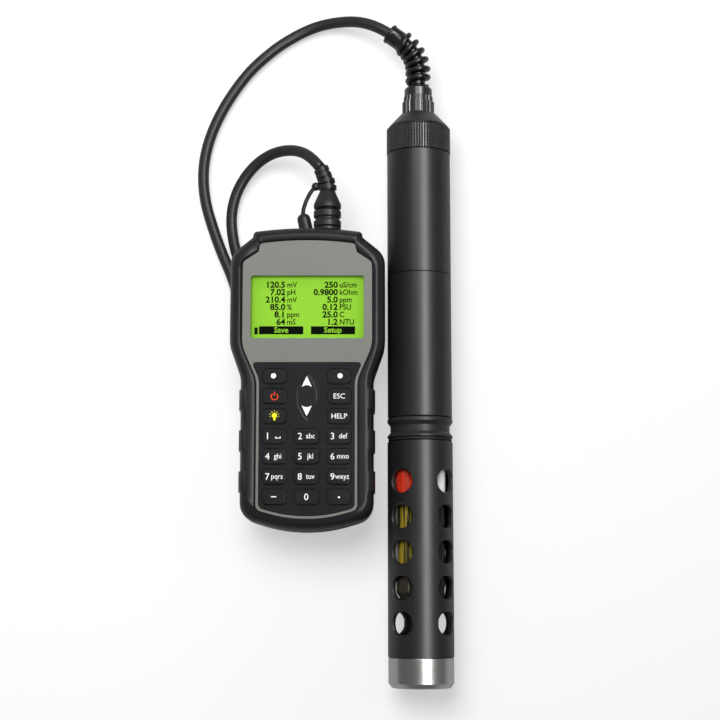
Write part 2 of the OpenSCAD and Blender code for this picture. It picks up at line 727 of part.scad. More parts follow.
module strain_relief() color("#29292b") {
  per_turn = 12;
  steps = spring_turns * per_turn;
  r = (spring_d - spring_wire) / 2;
  from = spring_wire * 0.55;
  to = relief_l - 0.2;
  radial = [for (i = [0:steps]) let (s = from + (to - from) * i / steps, a = -360 * i / per_turn)
    cos(a) * relief_out(s) + sin(a) * [0, 0, 1]];
  spiral = [for (i = [0:steps]) relief_point(from + (to - from) * i / steps) + r * radial[i]];
  swept(spiral, spring_wire / 2, 8, radial);
  translate(relief_end) rotate([0, 0, relief_turn]) rotate([-90, 0, 0])
    turned([
      [lead_d / 2 + run_fit, -0.2], [spring_d / 2 - 1.6, -0.2], [spring_d / 2 - 1.4, 0.6], [6.1, 1.2],
      [6.1, relief_collar_l - 2.2], [6.6, relief_collar_l - 1.8], [6.6, relief_collar_l - 0.4],
      [6, relief_collar_l], [lead_d / 2 + run_fit, relief_collar_l]
    ]);
}

gland_r = gland_d / 2;
gland_core_r = 7;
module gland_nut() color("#303133") on_probe() {
  foot = 7.6;
  plain = 6.5;
  difference() {
    union() {
      translate([0, 0, gland_y]) linear_extrude(foot) polygon(ribbed(gland_r, 0.5, 24));
      translate([0, 0, gland_y + foot]) linear_extrude(gland_l - foot - plain) polygon(ribbed(gland_r - 0.9, 0.4, 24));
      translate([0, 0, gland_top - plain]) turned([
        [0, 0], [gland_r - 1.4, 0], [gland_r - 1.4, plain - 1.6], [gland_r - 2.9, plain], [0, plain]
      ]);
    }
    translate([0, 0, gland_y - past]) cylinder(r = gland_core_r + run_fit, h = gland_l - 3 + past);
    translate([0, 0, gland_y]) cylinder(r = lead_d / 2 + run_fit, h = gland_l + past);
  }
}

core_r = tube_in - slip;
cap_core_r = ring_d / 2 - 2.6;
module cap_body() color("#38393b") on_probe()
  turned([
    [0, ring_y - 9], [core_r, ring_y - 9], [core_r, ring_y - 0.5], [cap_core_r, ring_y - 0.2], [cap_core_r, shoulder_y],
    [ring_d / 2 - 1.1, shoulder_y + 0.3], [ring_d / 2 - 1.6, shoulder_y + 1.5], [gland_r + 1.2, gland_y - 0.6],
    [gland_r + 0.4, gland_y - 0.3], [gland_core_r, gland_y - 0.3], [gland_core_r, gland_top - 3.5], [0, gland_top - 3.5]
  ]);

module knurled_ring() color("#2f3032") on_probe()
  difference() {
    translate([0, 0, ring_y + 0.2]) linear_extrude(ring_l - 0.4) polygon(ribbed(ring_d / 2, 0.45, 60));
    translate([0, 0, ring_y - past]) cylinder(r = cap_core_r + run_fit, h = ring_l + 2 * past);
  }

module upper_tube() color("#252628") on_probe() hollow(tube_d / 2, tube_in, upper_y + joint_gap / 2, upper_l - joint_gap);
module lower_tube() color("#252628") on_probe() hollow(tube_d / 2, tube_in, lower_y + joint_gap, lower_l - joint_gap * 1.5);

joint_l = 26;
module joint_ring() color("#5a5b5d") on_probe() hollow(core_r, core_r - 2.4, upper_y - joint_l / 2, joint_l);

flange_r = ring_d / 2;
block_neck_r = flange_r - 1.8;
seal_seat_r = flange_r - 1.6;
seal_r = 0.6;
module sensor_block() color("#3d3e40") on_probe()
  turned([
    [0, sensor_top], [sleeve_in - run_fit, sensor_top], [sleeve_in - run_fit, block_y + joint_gap],
    [seal_seat_r, block_y + joint_gap], [seal_seat_r, block_y + 2.4], [flange_r, block_y + 2.6],
    [flange_r, block_y + 3.8], [block_neck_r, block_y + 5.9], [block_neck_r, lower_y - 5], [flange_r, lower_y - 2.6],
    [flange_r, lower_y - 0.6], [tube_d / 2 - 0.6, lower_y], [core_r, lower_y + 0.1], [core_r, lower_y + 12],
    [0, lower_y + 12]
  ]);

module sleeve_seal() color("#141414") on_probe()
  translate([0, 0, block_y + 1.4]) rotate_extrude() translate([seal_seat_r + seal_r, 0]) circle(r = seal_r, $fn = 24);

// Places of the three sensors round the probe's axis, by their turn from straight up
module sensor_place(turn) on_probe()
  translate([sensor_at * sin(turn), -sensor_at * cos(turn), sensor_top]) mirror([0, 0, 1]) children();

sensor_r = sensor_d / 2;
head_l = 24;

// A glass electrode: coloured head, clear bulb tube with its inner rod, and a guard cap
module ph_sensor() color("#c8281a") sensor_place(-sensor_turn) {
  cylinder(r = sensor_r, h = head_l - 4);
  translate([0, 0, head_l - 4]) cylinder(r = sensor_r - 1.4, h = 4);
  translate([0, 0, head_l]) cylinder(r = sensor_r - 1.2, h = sensor_l - head_l - 15);
  translate([0, 0, sensor_l - 15])
    turned([[0, 0], [sensor_r - 0.2, 0], [sensor_r - 0.2, 11], [sensor_r - 3, 15], [0, 15]]);
}

module oxygen_sensor() color("#d8d8d4") sensor_place(sensor_turn) {
  cylinder(r = sensor_r, h = head_l);
  translate([0, 0, head_l]) turned([
    [0, 0], [sensor_r - 0.4, 0], [sensor_r - 0.4, sensor_l - head_l - 8], [sensor_r - 1, sensor_l - head_l - 7],
    [sensor_r - 1, sensor_l - head_l - 1], [sensor_r - 2, sensor_l - head_l], [0, sensor_l - head_l]
  ]);
}

module conductivity_sensor() color("#2b2c2e") sensor_place(180)
  difference() {
    turned([[0, 0], [sensor_r, 0], [sensor_r, sensor_l - 6], [sensor_r - 1.5, sensor_l - 4], [0, sensor_l - 4]]);
    translate([-2.2, -sensor_d, sensor_l - 18]) cube([4.4, 2 * sensor_d, 9]);
  }

pin_l = 40;
pin_r = 2;
module temperature_pin() color("#b9bbbd") on_probe()
  translate([13.4, 4.6, sensor_top - pin_l]) {
    cylinder(r = pin_r, h = pin_l);
    sphere(r = pin_r);
  }

module protective_sleeve() color("#232426") on_probe()
  difference() {
    hollow(sleeve_d / 2, sleeve_in, sleeve_y, sleeve_l);
    for (row = [0:hole_rows - 1]) for (turn = [0, 90])
      translate([0, 0, block_y - hole_first - row * hole_pitch]) rotate([0, 0, hole_turn + turn]) rotate([90, 0, 0])
        translate([0, 0, -sleeve_d]) cylinder(d = hole_d, h = 2 * sleeve_d);
  }

module steel_weight() color("#c3c5c8") on_probe()
  turned([
    [steel_bore / 2 + 1, steel_y], [steel_d / 2 - 2.2, steel_y], [steel_d / 2, steel_y + 2.9],
    [steel_d / 2, sleeve_y - joint_gap], [sleeve_in - run_fit, sleeve_y - joint_gap],
    [sleeve_in - run_fit, sleeve_y + 8], [steel_bore / 2, sleeve_y + 8], [steel_bore / 2, steel_y + 1]
  ]);

rubber_boot();
front_case();
rear_case();
case_gasket();
front_panel();
keypad_plate();
keypad_mat();
display_window();
lcd_module();
main_board();
batteries();
battery_contacts();
battery_door();
case_screws();
probe_socket();
for (k = keys) key_cap(k[0]);
key_nav();
plug_core();
plug_collar();
plug_shell();
plug_boot();
cap_tether();
dust_cap();
cable_to_meter();
cable_coil();
cable_to_probe();
coil_tie();
strain_relief();
gland_nut();
cap_body();
knurled_ring();
upper_tube();
lower_tube();
joint_ring();
sensor_block();
sleeve_seal();
ph_sensor();
oxygen_sensor();
conductivity_sensor();
temperature_pin();
protective_sleeve();
steel_weight();
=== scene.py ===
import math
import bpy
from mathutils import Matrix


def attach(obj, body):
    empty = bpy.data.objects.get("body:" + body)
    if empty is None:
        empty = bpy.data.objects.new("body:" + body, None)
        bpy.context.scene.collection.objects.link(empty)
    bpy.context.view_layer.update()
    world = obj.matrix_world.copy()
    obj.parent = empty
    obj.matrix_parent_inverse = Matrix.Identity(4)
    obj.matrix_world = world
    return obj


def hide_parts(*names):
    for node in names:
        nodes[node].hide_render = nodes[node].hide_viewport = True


bl_info = {
    "name": "Water quality meter looks",
    "version": (1, 0, 0),
    "blender": (4, 5, 0),
    "location": "3D View > Sidebar > Meter",
    "description": "Finishes, markings, lead and stage for a handheld water quality meter and its probe",
    "category": "Object",
}

import bmesh
import bpy
from mathutils import Matrix, Vector

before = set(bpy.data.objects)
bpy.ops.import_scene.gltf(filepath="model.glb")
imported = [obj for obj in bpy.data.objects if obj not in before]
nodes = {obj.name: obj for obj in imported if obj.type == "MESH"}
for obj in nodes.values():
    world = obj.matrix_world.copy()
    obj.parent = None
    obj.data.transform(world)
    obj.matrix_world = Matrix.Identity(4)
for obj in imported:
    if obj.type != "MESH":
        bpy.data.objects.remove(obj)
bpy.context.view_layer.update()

MM = 0.001
ROOT = "meter_and_probe"

# Places that the solids give, in millimetres
METER = Vector((-20.8, -1.7, 14.0))
PROBE = Vector((48.0, 0.0, 20.0))
KEY_TOP = METER.z + 34.9
PITCH_X, PITCH_Y, FIRST_Y = 19.4, 12.07, -0.1
DISPLAY = Vector((METER.x, METER.y + 42.4))
DISPLAY_TOP = METER.z + 30.9
LIP = METER.z + 34.4
GLAND_TOP = 186.9
RING_LOW, RING_HIGH = 142.9, 159.2
GLASS_FOOT, CAP_FOOT = -119.4, -74.2
COIL = Vector((-20.9, 22.0))
LOW, HIGH = 3.5, 10.5

# How far print stands above what it is printed on, in millimetres
INK = 0.05

# The lead's two free stretches: from the plug to the coil, and from the gland to the coil
METER_ROUTE = [
    (-13.5, 131.5, 31.6), (-19.5, 139, 29), (-26, 144, 24.5), (-34, 146.5, 19), (-44, 146, 13.5),
    (-54, 141, 9), (-62.5, 132, 6), (-68.5, 120.5, 4), (-71, 107, LOW), (-70, 94.5, LOW), (-67.5, 83, LOW),
    (-64, 74.5, LOW), (-58.5, 68, LOW), (-51, 63.5, LOW), (-42.5, 61.5, LOW), (-32.5, 62.5, LOW),
]
PROBE_ROUTE = [
    (48, 183.6, 20), (48, 190, 20), (48, 197, 20), (46.6, 205.5, 20), (42.4, 212.8, 20), (38.3, 216.7, 20),
    (34, 219.9, 20), (29.6, 223.1, 19.9), (24, 226.6, 19.3), (17, 230.2, 17.5), (10, 232.7, 14.8),
    (2.4, 234, 11.6), (-6.5, 234.3, 8), (-15.3, 233.3, 5.3), (-24, 230.4, 3.9), (-31.5, 226.4, LOW),
    (-40, 221.2, LOW), (-47.5, 215.2, LOW), (-56, 207.5, LOW), (-63.5, 199, LOW), (-74, 183.5, LOW),
    (-82.3, 167, LOW), (-87.5, 150.5, LOW), (-89.3, 134, LOW), (-87.5, 116.5, LOW), (-82.5, 99.3, LOW),
    (-79, 89.5, 3.8), (-75.3, 80, 4.6), (-71.5, 71.5, 5.8), (-67.5, 60.5, 7.6), (-64.8, 49, 9.2),
    (-63.3, 37, 10.1), (-62.8, 22, 10.4),
]


class MeterLooks(bpy.types.PropertyGroup):
    boot_colour: bpy.props.FloatVectorProperty(
        name="Boot", description="Colour of the rubber boot", subtype="COLOR", size=3, min=0, max=1,
        default=(0.011, 0.0115, 0.0125))
    panel_colour: bpy.props.FloatVectorProperty(
        name="Panel", description="Colour of the panel round the display", subtype="COLOR", size=3,
        min=0, max=1, default=(0.132, 0.139, 0.123))
    display_colour: bpy.props.FloatVectorProperty(
        name="Display", description="Colour of the lit display", subtype="COLOR", size=3, min=0, max=1,
        default=(0.19, 0.425, 0.024))
    mark_colour: bpy.props.FloatVectorProperty(
        name="Key marks", description="Colour of the digits and signs on the keys", subtype="COLOR", size=3,
        min=0, max=1, default=(0.86, 0.86, 0.86))
    digit_size: bpy.props.FloatProperty(
        name="Digit size", description="Height of the letters' body on the keys", subtype="DISTANCE",
        default=0.0056, min=0.004, max=0.007)
    rib_count: bpy.props.IntProperty(
        name="Ribs", description="Ribs round the knurled ring", default=76, min=40, max=90)
    lead_diameter: bpy.props.FloatProperty(
        name="Lead", description="Outside diameter of the lead", subtype="DISTANCE", default=0.007, min=0.006,
        max=0.0075)
    edge_round: bpy.props.FloatProperty(
        name="Edge rounding", description="Radius on the edges of moulded pieces", subtype="DISTANCE",
        default=0.0003, min=0.0001, max=0.0005)


# Shader building

class Wire:
    """A socket that turns Python arithmetic into Math nodes."""

    def __init__(self, finish, socket):
        self.finish, self.socket = finish, socket

    def _math(self, operation, *values):
        return self.finish.node("ShaderNodeMath", {"operation": operation}, dict(enumerate(values)))

    def __add__(self, other): return self._math("ADD", self, other)
    def __radd__(self, other): return self._math("ADD", other, self)
    def __sub__(self, other): return self._math("SUBTRACT", self, other)
    def __rsub__(self, other): return self._math("SUBTRACT", other, self)
    def __mul__(self, other): return self._math("MULTIPLY", self, other)
    def __truediv__(self, other): return self._math("DIVIDE", self, other)
    def above(self, edge): return self._math("GREATER_THAN", self, edge)
    def at_least(self, low): return self._math("MAXIMUM", self, low)
    def to_the(self, power): return self._math("POWER", self._math("ABSOLUTE", self), power)


class Finish:
    """One material, made node by node."""

    def __init__(self, name):
        self.material = bpy.data.materials.new(name)
        self.material.use_nodes = True
        self.tree = self.material.node_tree
        self.tree.nodes.clear()

    def node(self, kind, settings=None, inputs=None, out=0):
        """One shader node with its settings and inputs, and a wire from the output that is asked for."""
        made = self.tree.nodes.new(kind)
        for key, value in (settings or {}).items():
            setattr(made, key, value)
        for key, value in (inputs or {}).items():
            socket = made.inputs[key]
            if isinstance(value, Wire):
                self.tree.links.new(value.socket, socket)
            elif socket.type == "RGBA" and len(value) == 3:
                socket.default_value = (*value, 1)
            else:
                socket.default_value = value
        return Wire(self, made.outputs[out]) if made.outputs else made

    def place(self):
        """The place on the object, in metres."""
        return self.node("ShaderNodeTexCoord", out=3)

    def flat_axes(self):
        """The place's X and Y."""
        split = self.node("ShaderNodeSeparateXYZ", inputs={0: self.place()}).socket.node
        return [Wire(self, split.outputs[i]) for i in range(2)]

    def noise(self, scale, detail=2.0, stretch=(1, 1, 1)):
        where = self.node("ShaderNodeMapping", inputs={"Vector": self.place(), "Scale": stretch})
        return self.node("ShaderNodeTexNoise", inputs={"Vector": where, "Scale": scale, "Detail": detail})

    def mix(self, factor, first, second):
        return self.node("ShaderNodeMix", {"data_type": "RGBA"}, {0: factor, 6: first, 7: second}, out=2)

    def bump(self, height, strength, distance):
        return self.node("ShaderNodeBump", inputs={
            "Height": height, "Strength": strength, "Distance": distance})

    def surface(self, **sockets):
        shader = self.node("ShaderNodeBsdfPrincipled", inputs=sockets)
        self.node("ShaderNodeOutputMaterial", inputs={"Surface": shader})
        return self.material


def moulded(name, colour, rough=0.42, grain=0.25, scale=2600, tint=0.1, coat=0.0, shine=0.36):
    """Moulded plastic or rubber: a fine grain, and a slow change of colour and gloss."""
    look = Finish(name)
    slow = look.noise(35)
    fine = look.noise(scale, 3)
    pale = tuple(min(1, c * (1 + tint) + 0.002) for c in colour)
    dark = tuple(c * (1 - tint) for c in colour)
    return look.surface(**{
        "Base Color": look.mix(slow, dark, pale),
        "Roughness": rough - 0.06 + slow * 0.08 + fine * 0.05,
        "Normal": look.bump(fine, grain, 0.00006),
        "Coat Weight": coat,
        "Specular IOR Level": shine,
    })


def turned_steel(name, colour=(0.58, 0.575, 0.56), rough=0.2):
    """Steel off the lathe: fine lines round the axis, and soft smears of gloss."""
    look = Finish(name)
    lines = look.noise(9, 2, (4, 900, 4))
    smear = look.noise(60)
    pale = tuple(min(1, c * 1.06) for c in colour)
    return look.surface(**{
        "Base Color": look.mix(lines, tuple(c * 0.9 for c in colour), pale),
        "Metallic": 1.0,
        "Roughness": rough + lines * 0.1 + smear * 0.08,
        "Normal": look.bump(lines, 0.25, 0.00005),
    })


def banded(name, edges, colours, rough=0.25, streaks=()):
    """Bands of colour along the probe, from places on Y in millimetres and one colour more than places.

    streaks gives the strength of dark streaks along each band."""
    look = Finish(name)
    along = look.flat_axes()[1]
    grain = look.noise(30, 2, (26, 1, 26))
    streak = (0.012, 0.01, 0.006)
    shades = [look.mix((grain - 0.42) * strength, shade, streak) if strength else shade
              for shade, strength in zip(colours, streaks or [0] * len(colours))]
    colour = shades[0]
    for edge, after in zip(edges, shades[1:]):
        colour = look.mix(along.above(edge * MM), colour, after)
    return look.surface(**{
        "Base Color": colour, "Roughness": rough + grain * 0.12, "Specular IOR Level": 0.3,
        "Normal": look.bump(look.noise(1800), 0.08, 0.00004),
    })


def printed(name, colour, glow=0.0):
    """Ink or a lit mark, very slightly uneven."""
    look = Finish(name)
    uneven = look.noise(900)
    return look.surface(**{
        "Base Color": look.mix(uneven, tuple(c * 0.93 for c in colour), colour),
        "Roughness": 0.45 + uneven * 0.1,
        "Specular IOR Level": 0.0,
        "Emission Color": colour, "Emission Strength": glow,
    })


# Mesh building

def link(name, mesh):
    """A new object in the scene."""
    made = bpy.data.objects.new(name, mesh)
    bpy.context.scene.collection.objects.link(made)
    return made


def mesh_from(form, name):
    """A new mesh from a bmesh, which is freed."""
    mesh = bpy.data.meshes.new(name)
    form.to_mesh(mesh)
    form.free()
    return mesh


def shade(mesh, angle=35):
    """Smooth shading with sharp edges above an angle in degrees."""
    mesh.shade_smooth()
    mesh.set_sharp_from_angle(angle=math.radians(angle))


def evaluated(made):
    """The object with its modifiers made real in its mesh."""
    mesh = bpy.data.meshes.new_from_object(made.evaluated_get(bpy.context.evaluated_depsgraph_get()))
    made.modifiers.clear()
    old, made.data = made.data, mesh
    bpy.data.meshes.remove(old)
    return made


def softened(node, name, material, body=ROOT, width=0.0003, angle=35, rim=None,
             cut=(0.001, 5), level=True):
    """A copy of a solid with its edges rounded by a width in metres, which stands for the solid.

    rim says which edges are first cut back, and cut by how many metres and in how many segments."""
    mesh = nodes[node].data.copy()
    for extra in [e.name for e in mesh.attributes if e.name in ("custom_normal", "sharp_edge", "sharp_face")]:
        mesh.attributes.remove(mesh.attributes[extra])
    form = bmesh.new()
    form.from_mesh(mesh)
    bmesh.ops.remove_doubles(form, verts=form.verts, dist=0.000002)
    bmesh.ops.dissolve_limit(form, angle_limit=math.radians(0.5), verts=form.verts, edges=form.edges)
    if rim:
        edges = [e for e in form.edges if rim(e)]
        bmesh.ops.bevel(form, geom=edges, offset=cut[0], segments=cut[1], profile=0.5, affect="EDGES")
    form.to_mesh(mesh)
    form.free()
    mesh.materials.clear()
    mesh.materials.append(material)
    made = link(name, mesh)
    if width:
        bevel = made.modifiers.new("Edges", "BEVEL")
        bevel.width, bevel.segments, bevel.limit_method = width, 2, "ANGLE"
        bevel.angle_limit, bevel.use_clamp_overlap = math.radians(50), True
        evaluated(made)
    shade(made.data, angle)
    if level:
        flat = made.modifiers.new("Flat faces stay flat", "WEIGHTED_NORMAL")
        flat.keep_sharp, flat.weight = True, 60
        evaluated(made)
    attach(made, body)
    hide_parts(node)


def tube_mesh(name, path, radius, sides, thin=0):
    """A closed round tube that follows points, with as little twist as can be.

    thin is the number of points over which it grows to its full radius."""
    form = bmesh.new()
    rings = []
    side = None
    for i, point in enumerate(path):
        ahead = (path[min(i + 1, len(path) - 1)] - path[max(i - 1, 0)]).normalized()
        if side is None:
            side = ahead.cross(Vector((0, 0, 1)) if abs(ahead.z) < 0.9 else Vector((1, 0, 0))).normalized()
        side = (side - ahead * side.dot(ahead)).normalized()
        up = ahead.cross(side)
        size = radius * (1 if i >= thin else 0.1 + 0.9 * math.sqrt(i / thin))
        rings.append([
            form.verts.new(point + size * (math.cos(t) * side + math.sin(t) * up))
            for t in (2 * math.pi * k / sides for k in range(sides))])
    for before, after in zip(rings, rings[1:]):
        for k in range(sides):
            form.faces.new((before[k], before[(k + 1) % sides], after[(k + 1) % sides], after[k]))
    form.faces.new(rings[0][::-1])
    form.faces.new(rings[-1])
    bmesh.ops.recalc_face_normals(form, faces=form.faces)
    mesh = mesh_from(form, name)
    mesh.shade_smooth()
    return mesh


def lathed(name, profile, place, heading, segments=64):
    """A closed ring turned from (radius, distance) points round an axis."""
    form = bmesh.new()
    turn = heading.normalized().to_track_quat("Z", "Y").to_matrix().to_4x4()
    move = Matrix.Translation(place) @ turn
    rings = [[form.verts.new(move @ Vector((r * math.cos(t), r * math.sin(t), h)))
              for t in (2 * math.pi * k / segments for k in range(segments))] for r, h in profile]
    for before, after in zip(rings, rings[1:] + rings[:1]):
        for k in range(segments):
            form.faces.new((before[k], before[(k + 1) % segments], after[(k + 1) % segments], after[k]))
    bmesh.ops.recalc_face_normals(form, faces=form.faces)
    mesh = mesh_from(form, name)
    shade(mesh)
    return mesh


def slab(outline, low, high, move=Vector((0, 0, 0))):
    """A flat closed solid from an outline in millimetres."""
    form = bmesh.new()
    bottom = [form.verts.new(((x + move.x) * MM, (y + move.y) * MM, low * MM)) for x, y in outline]
    form.faces.new(bottom)
    raised = bmesh.ops.extrude_face_region(form, geom=form.faces[:])["geom"]
    top = [part for part in raised if isinstance(part, bmesh.types.BMVert)]
    bmesh.ops.translate(form, vec=(0, 0, (high - low) * MM), verts=top)
    bmesh.ops.recalc_face_normals(form, faces=form.faces)
    return mesh_from(form, "slab")


def words(text, size, x, y, low, high, align="CENTER", narrow=1.0, bold=0.0):
    """Plain lettering as a thin mesh, its middle line at a place in millimetres."""
    curve = bpy.data.curves.new("lettering", "FONT")
    curve.body, curve.size, curve.align_x, curve.align_y = text, size, align, "CENTER"
    curve.extrude = (high - low) * MM / 2
    curve.offset = bold * MM
    curve.resolution_u = 3
    holder = link("lettering", curve)
    bpy.context.view_layer.update()
    mesh = bpy.data.meshes.new_from_object(holder.evaluated_get(bpy.context.evaluated_depsgraph_get()))
    bpy.data.objects.remove(holder)
    bpy.data.curves.remove(curve)
    move = Matrix.Translation((x * MM, y * MM, (low + high) * MM / 2))
    mesh.transform(move @ Matrix.Diagonal((narrow, 1, 1, 1)))
    return mesh


def joined(name, meshes, material):
    """One object from several meshes, which are removed."""
    form = bmesh.new()
    for mesh in meshes:
        form.from_mesh(mesh)
        bpy.data.meshes.remove(mesh)
    bmesh.ops.remove_doubles(form, verts=form.verts, dist=0.000001)
    result = mesh_from(form, name)
    result.materials.append(material)
    return link(name, result)


def arc(radius, start, stop, steps):
    """The points of an arc between two angles in degrees."""
    angles = [math.radians(start + (stop - start) * i / steps) for i in range(steps + 1)]
    return [(radius * math.cos(t), radius * math.sin(t)) for t in angles]


def spline(points, per_span=8):
    """A smooth line through points."""
    ends = [points[0] * 2 - points[1]] + points + [points[-1] * 2 - points[-2]]
    line = []
    for a, b, c, d in zip(ends, ends[1:], ends[2:], ends[3:]):
        for i in range(per_span):
            t = i / per_span
            line.append(0.5 * (2 * b + (c - a) * t + (2 * a - 5 * b + 4 * c - d) * t * t
                               + (3 * b - a - 3 * c + d) * t ** 3))
    return line + [points[-1]]


def even(line, step):
    """The same line at equal steps, so that a bend is as smooth as a straight."""
    result = [line[0]]
    left = step
    for a, b in zip(line, line[1:]):
        span = (b - a).length
        while span >= left and span > 0:
            a = a + (b - a) * (left / span)
            result.append(a)
            span = (b - a).length
            left = step
        left -= span
    return result + [line[-1]] if (result[-1] - line[-1]).length > step / 3 else result[:-1] + [line[-1]]


def paint(names, material):
    """Give solids that stay as they are one material."""
    for name in names:
        data = nodes[name].data
        data.materials.clear()
        data.materials.append(material)


# Geometry Nodes: one small shape set out round an axis

def ring_of(name, count, radius, rib, length, place, material):
    """The mesh of straight round ribs in a ring, set out by Geometry Nodes with named sizes."""
    tree = bpy.data.node_groups.new(name, "GeometryNodeTree")
    sizes = {"Count": ("NodeSocketInt", count), "Radius": ("NodeSocketFloat", radius),
             "Rib radius": ("NodeSocketFloat", rib), "Length": ("NodeSocketFloat", length)}
    for label, (kind, _) in sizes.items():
        tree.interface.new_socket(label, in_out="INPUT", socket_type=kind)
    tree.interface.new_socket("Geometry", in_out="OUTPUT", socket_type="NodeSocketGeometry")
    given = tree.nodes.new("NodeGroupInput")
    result = tree.nodes.new("NodeGroupOutput")

    def add(kind, inputs):
        made = tree.nodes.new(kind)
        for key, value in inputs.items():
            if isinstance(value, bpy.types.NodeSocket):
                tree.links.new(value, made.inputs[key])
            else:
                made.inputs[key].default_value = value
        return made

    circle = add("GeometryNodeMeshCircle", {
        "Vertices": given.outputs["Count"], "Radius": given.outputs["Radius"]})
    rod = add("GeometryNodeMeshCylinder", {
        "Vertices": 8, "Radius": given.outputs["Rib radius"], "Depth": given.outputs["Length"]})
    lay = add("GeometryNodeInstanceOnPoints", {
        "Points": circle.outputs["Mesh"], "Instance": rod.outputs["Mesh"]})
    real = add("GeometryNodeRealizeInstances", {"Geometry": lay.outputs[0]})
    coat = add("GeometryNodeSetMaterial", {"Geometry": real.outputs[0], "Material": material})
    tree.links.new(coat.outputs[0], result.inputs[0])
    made = link(name, bpy.data.meshes.new(name))
    modifier = made.modifiers.new("Ribs", "NODES")
    modifier.node_group = tree
    for item in tree.interface.items_tree:
        if item.in_out == "INPUT" and item.name in sizes:
            modifier[item.identifier] = sizes[item.name][1]
    bpy.context.view_layer.update()
    mesh = evaluated(made).data
    bpy.data.objects.remove(made)
    mesh.transform(Matrix.Translation(place) @ Matrix.Rotation(math.radians(-90), 4, "X"))
    return mesh


# Operators

class METER_OT_stage(bpy.types.Operator):
    """Set up the floor, the lamps and the camera"""
    bl_idname = "meter.stage"
    bl_label = "Stage"

    def execute(self, context):
        scene = context.scene
        scene.view_settings.view_transform = "Standard"
        camera = bpy.data.objects.new("camera", bpy.data.cameras.new("camera"))
        camera.data.lens, camera.data.sensor_width = 80, 36
        camera.data.clip_start, camera.data.clip_end = 0.01, 20
        camera.location = (0.0111, -0.1329, 1.0)
        camera.rotation_euler = (math.radians(8.426), 0, 0)
        scene.collection.objects.link(camera)
        scene.camera = camera

        look = Finish("floor")
        x, y = look.flat_axes()
        seen = look.node("ShaderNodeLightPath")
        cloud = look.noise(3)
        dark = (0.06, 0.06, 0.06)
        # The floor has a painted shadow under the probe's sleeve, dark as far as a piece is close above it
        half_wide, middle, half_long = 0.0185, -0.085, 0.051
        across, along = ((x - PROBE.x * MM) / half_wide).to_the(12), ((y - middle) / half_long).to_the(20)
        covered = 1 - look.node("ShaderNodeAmbientOcclusion", inputs={"Distance": 0.04}, out=1).to_the(2)
        painted_shadow = (1 - across).at_least(0) * (1 - along).at_least(0) * covered
        paper = look.mix(cloud, (0.80, 0.802, 0.81), (0.84, 0.842, 0.85))
        # Shiny pieces see the floor darker than the camera does, so that their sides stay dark
        mirrored = look.node("ShaderNodeLightPath", out=3)
        paper = look.mix(mirrored * 0.6, paper, dark)
        # The painted shadow darkens the floor's own colour and takes away its glow
        diffuse = look.node("ShaderNodeBsdfDiffuse", inputs={"Color": look.mix(painted_shadow, paper, dark)})
        glow = look.node("ShaderNodeEmission", inputs={"Color": (0.925, 0.93, 0.94), "Strength": 0.98})
        lit = look.node("ShaderNodeMixShader", inputs={0: seen * 0.55 * (1 - painted_shadow), 1: diffuse, 2: glow})
        look.node("ShaderNodeOutputMaterial", inputs={"Surface": lit})
        form = bmesh.new()
        bmesh.ops.create_grid(form, x_segments=2, y_segments=2, size=3)
        mesh = mesh_from(form, "floor")
        mesh.materials.append(look.material)
        floor = link("floor", mesh)
        floor.location.z = -0.0002

        world = bpy.data.worlds.new("studio")
        world.use_nodes = True
        scene.world = world
        sky = world.node_tree.nodes["Background"]
        sky.inputs[0].default_value = (1, 1, 1, 1)
        sky.inputs[1].default_value = 0.15
        # Each lamp: name, place, aim, width, height, power, and whether it gives highlights and plain light
        lamps = (
            ("strip", (0.4, 0.25, 1.05), (0.26, 0.25, 0.0), 1.5, 0.3, 14.5, True, False),
            ("brow", (-0.1, 0.55, 1.0), (-0.02, 0.08, 0.04), 0.5, 0.25, 1.8, True, False),
            ("overhead", (-0.22, 0.36, 1.05), (-0.02, 0.0, 0.0), 0.8, 0.7, 17.0, False, True),
            ("right", (0.75, 0.1, 0.5), (0.03, 0.0, 0.02), 0.25, 0.9, 1.2, False, True),
            ("left", (-0.8, 0.2, 0.55), (-0.02, 0.0, 0.02), 0.25, 0.9, 1.4, False, True),
            ("top", (0.1, 0.9, 0.35), (0.0, 0.1, 0.02), 0.8, 0.3, 3.0, False, True),
        )
        for name, place, aim, wide, high, power, glossy, plain in lamps:
            data = bpy.data.lights.new(name, "AREA")
            data.shape, data.size, data.size_y, data.energy = "RECTANGLE", wide, high, power
            lamp = bpy.data.objects.new(name, data)
            lamp.location = place
            lamp.rotation_euler = (Vector(aim) - Vector(place)).to_track_quat("-Z", "Y").to_euler()
            lamp.visible_glossy, lamp.visible_diffuse = glossy, plain
            scene.collection.objects.link(lamp)
        return {"FINISHED"}


def coil_line():
    """The coil's turns from the lower outside, in to the middle, up a layer and out again, in millimetres."""
    lead, start, half_way, whole = 7, 106, 166, 1726

    def ease(t):
        return t * t * (3 - 2 * t)

    line = []
    for step in range(0, whole, 6):
        turn, part = divmod(step, 360)
        late = ease(max(0, part - half_way) / (360 - half_way))
        early = ease(min(1, part / half_way))
        radius = [42 - lead * late, 35 - lead * late, 28, 28 + lead * early, 35 + lead * early][turn]
        height = LOW if turn < 2 else LOW + (HIGH - LOW) * early if turn == 2 else HIGH
        angle = math.radians(start - step)
        line.append(Vector((COIL.x + radius * math.cos(angle), COIL.y + radius * math.sin(angle), height)))
    return line


